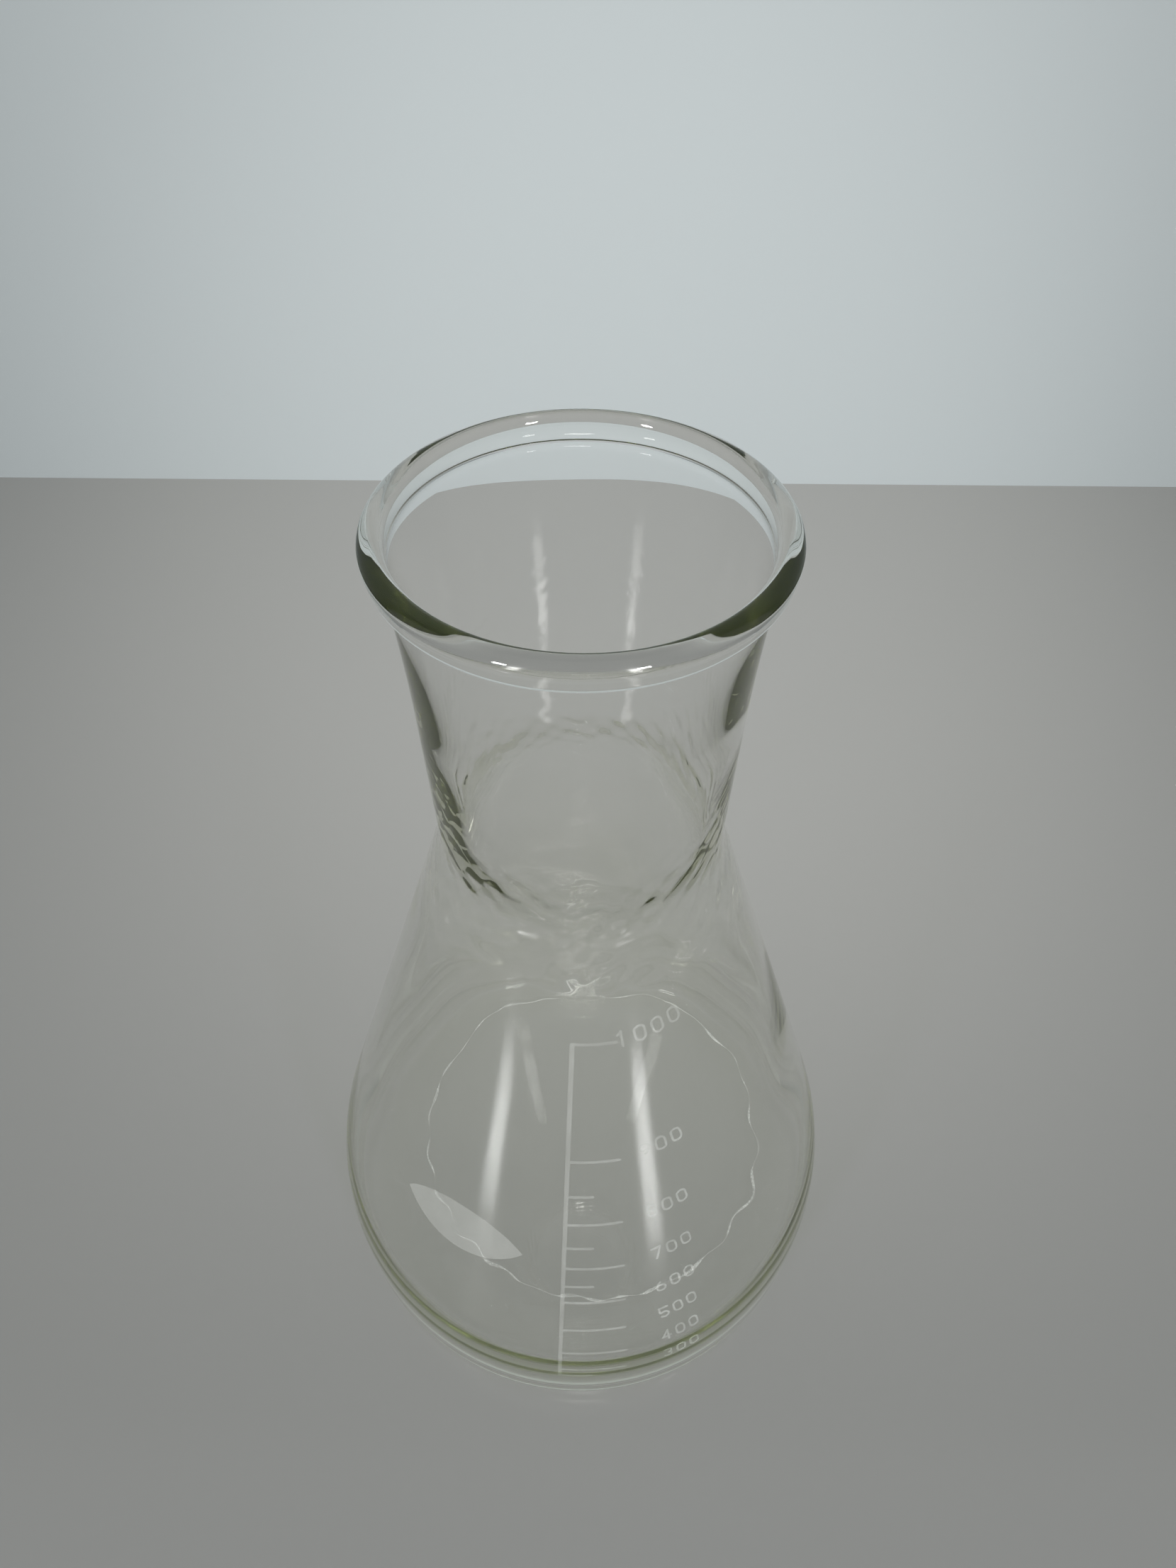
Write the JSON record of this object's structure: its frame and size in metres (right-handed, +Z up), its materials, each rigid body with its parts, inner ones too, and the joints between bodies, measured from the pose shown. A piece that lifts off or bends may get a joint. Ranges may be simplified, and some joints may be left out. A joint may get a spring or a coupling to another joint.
{
  "type": "conical flask",
  "caption": "Clear glass conical flask with a flat base, a wide neck, a flared and thickened round lip, and a white enamel volume scale with plain numerals and a marking patch.",
  "frame": {"origin": "the middle of the base, on the table", "axes": "+Z up along the flask's axis; the printed scale faces -Y"},
  "size_m": [0.131, 0.131, 0.22],
  "materials": {
    "clear_glass": "clear borosilicate glass, blown and fire polished, faintly olive where it is seen edge on",
    "white_enamel": "thin white fired-on enamel, worn and a little see-through"
  },
  "bodies": {
    "root": {"flask_body": "clear_glass", "scale_line": "white_enamel", "hundred_marks": "white_enamel", "fifty_marks": "white_enamel", "numerals": "white_enamel", "marking_patch": "white_enamel"}
  },
  "joints": []
}
